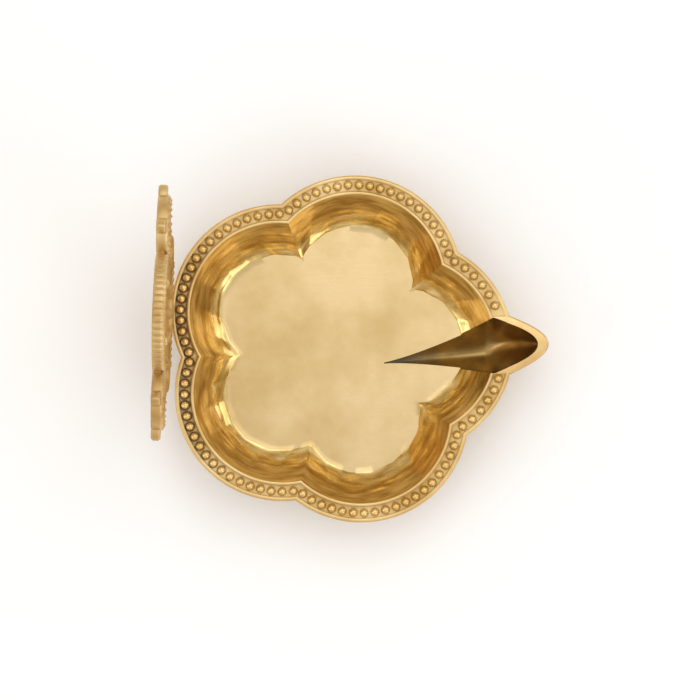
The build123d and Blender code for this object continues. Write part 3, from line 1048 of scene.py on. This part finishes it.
@dataclass
class BackPlate:
    """The upright relief plate, cast in one piece with the pad it stands on."""

    thickness: float = 2.6
    back: float = 1.2
    pad_front: float = 2.5
    pad_height: float = 5.2
    pad_half: float = 2.8
    hole_r: float = 1.27
    hole_depth: float = 3.9
    relief: float = 1.0
    low: float = 1.25
    arch_half: float = 15.0
    arch_shoulder: float = 46.0
    arch_top: float = 66.0
    arch_border: float = 1.5
    arch_steps: int = 14
    knob_r: float = 1.5
    knobs: int = 15
    medallion_r: float = 8.6
    medallion_u: float = 23.1
    medallion_w: float = 47.0
    ring_width: float = 2.4
    ring_beads: int = 22
    ring_bead_r: float = 0.7
    spokes: int = 8
    flame_length: float = 3.2
    flame_half: float = 2.1
    hub_r: float = 2.0
    arm_width: float = 3.2
    arm_low: float = 9.5
    arm_reach: float = 5.0
    arm_neck: float = 8.0
    lotus_low: float = 5.0
    petals: int = 7
    petal_length: float = 9.0
    petal_half: float = 2.3
    petal_fan: float = 150.0
    mark_half: float = 7.8
    mark_foot_half: float = 5.6
    mark_width: float = 2.8
    mark_low: float = 16.0
    mark_high: float = 50.0
    mark_rise: float = 1.3
    mark_flame_half: float = 1.68
    edge_round: float = 0.5
    cell: float = 0.27

    def arch(self) -> list[Point]:
        """Outline of the arched panel."""
        half, shoulder, top = self.arch_half, self.arch_shoulder, self.arch_top
        middle = (0.8 * half, shoulder + 0.58 * (top - shoulder))
        right = arc_points((half, shoulder), middle, (0, top), self.arch_steps)
        left = [(-u, w) for u, w in reversed(right[:-1])]
        return [(-half, self.low), (half, self.low)] + right + left

    def crest(self) -> list[Point]:
        """Centres of the knobs along the arch's head."""
        right = self.arch()[2 : 3 + self.arch_steps]
        lengths = np.cumsum([0.0] + [math.dist(a, b) for a, b in zip(right, right[1:])])
        across, up = zip(*right)
        places = [(0.0, self.arch_top)]
        for step in range(self.knobs):
            along = lengths[-1] * step / self.knobs
            u, w = (float(np.interp(along, lengths, line)) for line in (across, up))
            places += [(u, w), (-u, w)]
        return places

    def tongue(self, start: Point, lean: float, length: float, half: float) -> list[Point]:
        """Outline of a pointed petal or flame that rises from a place at a lean in degrees."""
        right = arc_points((half, 0), (0.75 * half, 0.55 * length), (0, length), 7)
        shape = right + [(-u, w) for u, w in reversed(right[:-1])]
        c, s = math.cos(math.radians(lean)), math.sin(math.radians(lean))
        return [(start[0] + u * c - w * s, start[1] + u * s + w * c) for u, w in shape]

    def arm(self, side: int) -> list[Point]:
        """Middle line of one curved arm, from the panel up to its medallion."""
        half, reach = self.arch_half, self.arm_reach
        corners = [
            (half - 1, self.arm_low),
            (half + reach, self.arm_low + reach),
            (half + reach, self.medallion_w - self.medallion_r - self.arm_neck),
            (self.medallion_u, self.medallion_w - self.medallion_r + 1),
        ]
        padded = [corners[0], *corners, corners[-1]]
        line = []
        for spans in zip(padded, padded[1:], padded[2:], padded[3:]):
            for t in (step / 8 for step in range(8)):
                place = []
                for a, b, c, d in zip(*spans):
                    square, cube = 2 * a - 5 * b + 4 * c - d, 3 * b - a - 3 * c + d
                    place.append(0.5 * (2 * b + (c - a) * t + square * t * t + cube * t**3))
                line.append(tuple(place))
        return [(side * u, w) for u, w in line + [corners[-1]]]

    def outline_distance(self, u: np.ndarray, w: np.ndarray) -> np.ndarray:
        """Distance to the plate's own outline, negative inside it."""
        distance = polygon_distance(u, w, self.arch())
        for u0, w0 in self.crest():
            distance = np.minimum(distance, np.hypot(u - u0, w - w0) - self.knob_r)
        root = self.medallion_r - 0.4
        for side in (1, -1):
            u0, w0 = side * self.medallion_u, self.medallion_w
            distance = np.minimum(distance, np.hypot(u - u0, w - w0) - self.medallion_r)
            arm = line_distance(u, w, self.arm(side)) - self.arm_width / 2
            distance = np.minimum(distance, arm)
            for lean in (0, 90, 180, 270):
                turn = math.radians(lean)
                start = (u0 - root * math.sin(turn), w0 + root * math.cos(turn))
                flame = self.tongue(start, lean, self.flame_length, self.flame_half)
                distance = np.minimum(distance, polygon_distance(u, w, flame))
        return distance

    def medallions(self, u: np.ndarray, w: np.ndarray) -> np.ndarray:
        """Relief of both beaded rings, the wheel and the conch."""
        rise = np.zeros(u.shape)
        inner = self.medallion_r - self.ring_width
        for side in (1, -1):
            du, dw = u - side * self.medallion_u, w - self.medallion_w
            far, turn = np.hypot(du, dw), np.arctan2(dw, du)
            for radius, width in ((self.medallion_r - 0.35, 0.42), (inner + 0.35, 0.42)):
                rise = np.maximum(rise, 0.8 * self.relief * swell(abs(far - radius) - width, width))
            in_ring = (far < self.medallion_r) & (far > inner)
            rise = np.maximum(rise, np.where(in_ring, 0.4 * self.relief, 0))
            pitch = 2 * math.pi / self.ring_beads
            middle = inner + self.ring_width / 2
            nearest = np.round(turn / pitch) * pitch
            away = np.hypot(far * np.cos(turn - nearest) - middle, far * np.sin(turn - nearest))
            bead = swell(away - self.ring_bead_r, self.ring_bead_r)
            rise = np.maximum(rise, (self.relief + 0.3) * bead)
        du, dw = u + self.medallion_u, w - self.medallion_w
        far, turn = np.hypot(du, dw), np.arctan2(dw, du)
        pitch = 2 * math.pi / self.spokes
        off = (turn - np.round(turn / pitch) * pitch) * far
        leaf = 0.35 + 0.75 * np.sin(np.clip(far / inner, 0, 1) * math.pi)
        spoke = self.relief * swell(np.where(far < inner, abs(off) - leaf, 1), 0.9)
        rise = np.maximum(rise, spoke)
        rise = np.maximum(rise, 1.15 * self.relief * swell(far - self.hub_r, 1.4))
        rise -= 0.35 * swell(far - 0.7, 0.6)
        return np.maximum(rise, self.conch(u - self.medallion_u, w - self.medallion_w))

    def conch(self, u: np.ndarray, w: np.ndarray) -> np.ndarray:
        """Relief of the conch: a whorled body, a spire above and a canal below."""
        reach = self.medallion_r - self.ring_width + 0.2
        ways = [step * math.pi / 12 for step in range(13)]
        shell = [(0.62 * reach * math.cos(way), 0.56 * reach * math.sin(way)) for way in ways]
        canal = ((-0.52, -0.3), (-0.28, -0.62), (0.22, -0.98), (0.36, -0.5), (0.55, -0.2))
        shell += [(a * reach, b * reach) for a, b in canal]
        spire = [(a * reach, b * reach) for a, b in ((-0.45, 0.3), (-0.1, 0.98), (0.4, 0.3))]
        whole = np.minimum(polygon_distance(u, w, shell), polygon_distance(u, w, spire))
        whorl = 0.5 + 0.5 * np.cos(2 * math.pi * (w + 0.28 * u + 0.05 * u * u) / 1.45)
        rise = self.relief * swell(whole, 1.9) * (0.72 + 0.28 * whorl)
        mouth = [(a * reach, b * reach) for a, b in ((0.1, 0.25), (0.28, -0.2), (0.18, -0.8))]
        lip = line_distance(u, w, mouth)
        return rise - 0.4 * swell(lip - 0.45, 0.45) * (whole < 0)

    def height(self, u: np.ndarray, w: np.ndarray) -> np.ndarray:
        """Relief in front of the plate's face, in millimetres."""
        edge = polygon_distance(u, w, self.arch())
        along = w - abs(u)
        half = self.arch_border / 2
        twist = 0.8 + 0.2 * np.cos(2 * math.pi * (along + 1.1 * (edge + half)) / 1.9)
        rise = self.relief * swell(abs(edge + half) - half, half) * twist
        inner_line = abs(edge + self.arch_border + 0.75) - 0.3
        rise = np.maximum(rise, 0.45 * self.relief * swell(inner_line, 0.3))
        for u0, w0 in self.crest():
            knob = np.hypot(u - u0, w - w0) - self.knob_r
            rise = np.maximum(rise, 1.05 * self.relief * swell(knob, self.knob_r))
        for side in (1, -1):
            arm = line_distance(u, w, self.arm(side)) - self.arm_width / 2
            ribs = 0.78 + 0.22 * np.cos(2 * math.pi * (w - 0.8 * side * u) / 2.4)
            rise = np.maximum(rise, 0.95 * self.relief * swell(arm, self.arm_width / 2) * ribs)
        rise = np.maximum(rise, self.medallions(u, w))
        rise = self.lotus(u, w, rise)
        rise = np.maximum(rise, self.mark_rise * swell(self.mark(u, w), 1.1))
        for _ in range(2):
            across = np.roll(rise, 1, 1), np.roll(rise, -1, 1)
            up = np.roll(rise, 1, 0), np.roll(rise, -1, 0)
            rise = (4 * rise + up[0] + up[1] + across[0] + across[1]) / 8
        return rise

    def lotus(self, u: np.ndarray, w: np.ndarray, rise: np.ndarray) -> np.ndarray:
        """Lays the lotus over the relief so far, outer petals first, each with a vein."""
        for place in sorted(
            range(self.petals), key=lambda step: -abs(step - (self.petals - 1) / 2)
        ):
            lean = self.petal_fan * (place / (self.petals - 1) - 0.5)
            leaf = self.tongue((0, self.lotus_low), lean, self.petal_length, self.petal_half)
            shape = polygon_distance(u, w, leaf)
            turn = math.radians(lean)
            vein = abs(u * math.cos(turn) + (w - self.lotus_low) * math.sin(turn))
            crease = 0.28 * swell(vein - 0.3, 0.3) * (shape < -0.5)
            petal = self.relief * (swell(shape, 1.3) - crease)
            rise = np.where(shape < 0, np.maximum(petal, 0.12), rise)
        heart = np.hypot(u, w - self.lotus_low) - self.petal_half
        return np.maximum(rise, self.relief * swell(heart, 1.8))

    def mark(self, u: np.ndarray, w: np.ndarray) -> np.ndarray:
        """Distance to the three-stroke mark, negative inside it."""
        foot, low = self.mark_foot_half, self.mark_low
        bend = arc_points((foot, low + foot), (0, low), (-foot, low + foot), 12)
        line = [(self.mark_half, self.mark_high), *bend, (-self.mark_half, self.mark_high)]
        stroke = line_distance(u, w, line) - self.mark_width / 2
        start, length = (0, low + self.mark_width), self.mark_high - low
        flame = self.tongue(start, 0, length, self.mark_flame_half)
        return np.minimum(stroke, polygon_distance(u, w, flame))

    def casting(self) -> bpy.types.Object:
        """The plate as one closed mesh of small squares whose border follows the outline."""
        margin = 1.0
        half = self.medallion_u + self.medallion_r + self.flame_length + margin
        columns = np.arange(-half, half, self.cell)
        levels = np.arange(self.low - margin, self.arch_top + self.knob_r + margin, self.cell)
        u, w = np.meshgrid(columns, levels)
        away = self.outline_distance(u, w)
        middle = (away[:-1, :-1] + away[1:, :-1] + away[:-1, 1:] + away[1:, 1:]) / 4
        keep = middle < 0
        for _ in range(4):
            diagonal = keep[:-1, :-1] & keep[1:, 1:] & ~keep[1:, :-1] & ~keep[:-1, 1:]
            keep[1:, :-1] |= diagonal
            diagonal = ~keep[:-1, :-1] & ~keep[1:, 1:] & keep[1:, :-1] & keep[:-1, 1:]
            keep[:-1, :-1] |= diagonal
        rise = self.height(u, w)
        used = np.zeros(u.shape, int)
        for dr, dc in ((0, 0), (0, 1), (1, 0), (1, 1)):
            used[dr : dr + keep.shape[0], dc : dc + keep.shape[1]] += keep
        border = (used > 0) & (used < 4)
        slope_w, slope_u = np.gradient(away, self.cell)
        shift = np.where(border, np.clip(away, -0.75 * self.cell, 0.75 * self.cell), 0)
        u, w = u - shift * slope_u, w - shift * slope_w
        depth = np.clip(np.where(border, 0, -away), 0, self.edge_round)
        drop = self.edge_round - np.sqrt(self.edge_round**2 - (self.edge_round - depth) ** 2)
        front = self.thickness - self.back + rise - drop
        number = np.full(u.shape, -1)
        number[used > 0] = np.arange((used > 0).sum())
        count = int((used > 0).sum())
        rows = []
        for ahead in (front, -self.back + drop):
            rows.append(np.column_stack([ahead[used > 0], u[used > 0], w[used > 0]]))
        faces: list[Face] = []
        edges: dict[tuple[int, int], None] = {}
        for row, column in zip(*np.nonzero(keep)):
            places = ((row, column), (row, column + 1), (row + 1, column + 1), (row + 1, column))
            quad = tuple(int(number[place]) for place in places)
            faces.append(quad)
            for a, b in zip(quad, quad[1:] + quad[:1]):
                if (b, a) in edges:
                    del edges[(b, a)]
                else:
                    edges[(a, b)] = None
        fronts = len(faces)
        faces += [tuple(count + corner for corner in reversed(quad)) for quad in faces[:fronts]]
        faces += [(b, a, count + a, count + b) for a, b in edges]
        zones = [0] * fronts + [1] * (len(faces) - fronts)
        vertices = at_plate(np.vstack(rows), cad_box("back_plate")[0].z)
        return new_piece("back_plate_casting", vertices, faces, zones)

    def pad(self) -> bpy.types.Object:
        """The pad under the plate, rounded behind."""
        half = self.pad_half
        plan = [(self.pad_front, -half), (self.pad_front, half)]
        for turn in np.linspace(0, math.pi, HALF_ROUND_STEPS + 1):
            plan.append((-half * math.sin(turn), half * math.cos(turn)))
        return prism("pad", plan, (0.0, self.pad_height), cad_box("back_plate")[0].z, 1)

    def hole(self) -> bpy.types.Object:
        """Cutter of the blind hole that the screw goes up into."""
        foot = cad_box("back_plate")[0].z
        return prism("hole", circle(self.hole_r), (-1.0, self.hole_depth), foot, 1)

    def build(self) -> bpy.types.Object:
        """Joins the pad to the plate and drills it for the screw."""
        plate = self.casting()
        steps = ((self.pad, "UNION"), (self.hole, "DIFFERENCE"))
        assemble(plate, self.finishes(), steps, crease=50)
        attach(plate, BODY)
        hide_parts("back_plate")
        return plate

    def finishes(self) -> list[CastBrass]:
        """Finishes of the relief and of the plain back and edges."""
        # The relief's dark patina in its recesses is partly real and partly painted shade.
        relief = CastBrass(
            "rubbed_brass_relief",
            "#E8CC94",
            "#D2B078",
            0.4,
            roughness_spread=0.07,
            grain=0.03,
            patina_and_shade_colour="#5A4223",
            patina_and_shade_reach=1.6,
            patina_and_shade_share=0.5,
        )
        back = CastBrass(
            "sand_cast_brass_back",
            "#DEC088",
            "#C8A468",
            0.5,
            scratch_gap=0.5,
            scratch_height=0.006,
            grain=0.06,
            grain_size=0.9,
        )
        return [relief, back]


def dress_fittings() -> None:
    """Gives the foot ring, screw and washer, which keep the model's shapes, their finishes."""
    screw = CastBrass(
        "turned_brass_screw",
        "#E0B868",
        "#CFA252",
        0.25,
        roughness_spread=0.04,
        scratch_gap=0.25,
        scratch_way=(1.0, 1.0, 0.05),
    )
    washer = CastBrass("stamped_brass_washer", "#D8B064", "#C49A50", 0.32, roughness_spread=0.05)
    fittings = {
        "foot_ring": cast_finish("cast_brass_foot", 0.38),
        "fixing_screw": screw,
        "washer": washer,
    }
    for node, finish in fittings.items():
        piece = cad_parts[node]
        piece.data.materials.clear()
        piece.data.materials.append(finish.build())
        shade(piece, crease=30)


# ---------------------------------------------------------------- stage


@dataclass(frozen=True)
class Studio:
    """Pale floor, soft light, and the camera above the lamp."""

    elevation: float = 89.8
    azimuth: float = -2.8
    distance: float = 1.5
    view_width: float = 194.44444  # millimetres across the view at the focused height
    sensor: float = 36.0
    aim_right: float = 3.75  # millimetres from the lamp's axis to the middle of the view

    def camera(self, rim_z: float) -> None:
        """Sets up the camera.

        Args:
            rim_z: Height in millimetres that the camera is focused on.
        """
        data = bpy.data.cameras.new("camera")
        camera = bpy.data.objects.new("camera", data)
        bpy.context.scene.collection.objects.link(camera)
        around, up = math.radians(self.azimuth), math.radians(self.elevation)
        forward = Vector((-math.sin(around), math.cos(around), 0.0))
        right = Vector((forward.y, -forward.x, 0.0))
        target = right * self.aim_right * MM + Vector((0, 0, rim_z * MM))
        away = -forward * math.cos(up) + Vector((0, 0, math.sin(up)))
        camera.location = target + away * self.distance
        camera.rotation_euler = (-away).to_track_quat("-Z", "Y").to_euler()
        data.sensor_width = self.sensor
        data.lens = self.sensor * self.distance / MM / self.view_width
        data.clip_start = 0.05
        data.clip_end = 20.0
        bpy.context.scene.camera = camera

    def floor(self) -> None:
        """Makes the pale floor that the lamp stands on."""
        half = 3.0 / MM
        rows = [(-half, -half, 0), (half, -half, 0), (half, half, 0), (-half, half, 0)]
        floor = new_piece("studio_floor", np.array(rows, float), [(0, 1, 2, 3)])
        material = bpy.data.materials.new("matt_white_paper")
        material.use_nodes = True
        shader = material.node_tree.nodes["Principled BSDF"]
        shader.inputs["Base Color"].default_value = linear("#FDFDFD")
        shader.inputs["Roughness"].default_value = 0.9
        floor.data.materials.append(material)

    def light(self) -> None:
        """Puts up the soft boxes and the pale surroundings."""
        for name, place, size, watts in (
            ("top_box", (0.15, 0.5, 1.3), 1.1, 2.6),
            ("side_box", (-1.2, -0.3, 0.7), 0.7, 1.8),
            ("front_box", (0.9, -1.0, 0.9), 0.8, 2.2),
            ("window_box", (1.4, 0.4, 0.55), 0.8, 1.8),
        ):
            data = bpy.data.lights.new(name, "AREA")
            data.shape = "DISK"
            data.size = size
            data.energy = watts
            lamp = bpy.data.objects.new(name, data)
            bpy.context.scene.collection.objects.link(lamp)
            lamp.location = place
            lamp.rotation_euler = (-Vector(place)).to_track_quat("-Z", "Y").to_euler()
        world = bpy.data.worlds.new("pale_room")
        world.use_nodes = True
        tree = world.node_tree
        way = add_node(tree, "SeparateXYZ", in0=add_node(tree, "TexCoord").outputs["Generated"])
        warm = linear("#C9B79C")
        sky = add_ramp(tree, way.outputs["Z"], ((0.0, warm), (0.3, warm), (0.62, 0.95), (1.0, 1.0)))
        background = tree.nodes["Background"]
        tree.links.new(sky, background.inputs["Color"])
        background.inputs["Strength"].default_value = 0.98
        bpy.context.scene.world = world
        bpy.context.scene.view_settings.view_transform = "Standard"


def main() -> None:
    """Builds every piece in order."""
    logging.basicConfig(level=logging.INFO, format="%(name)s: %(message)s")
    bowl = LobedBowl()
    studio = Studio()
    studio.camera(bowl.rim_z)
    studio.floor()
    studio.light()
    for piece in (bowl.build(), BackPlate().build()):
        log.info("%s has %d faces", piece.name, len(piece.data.polygons))
    dress_fittings()


if __name__ == "__main__":
    main()
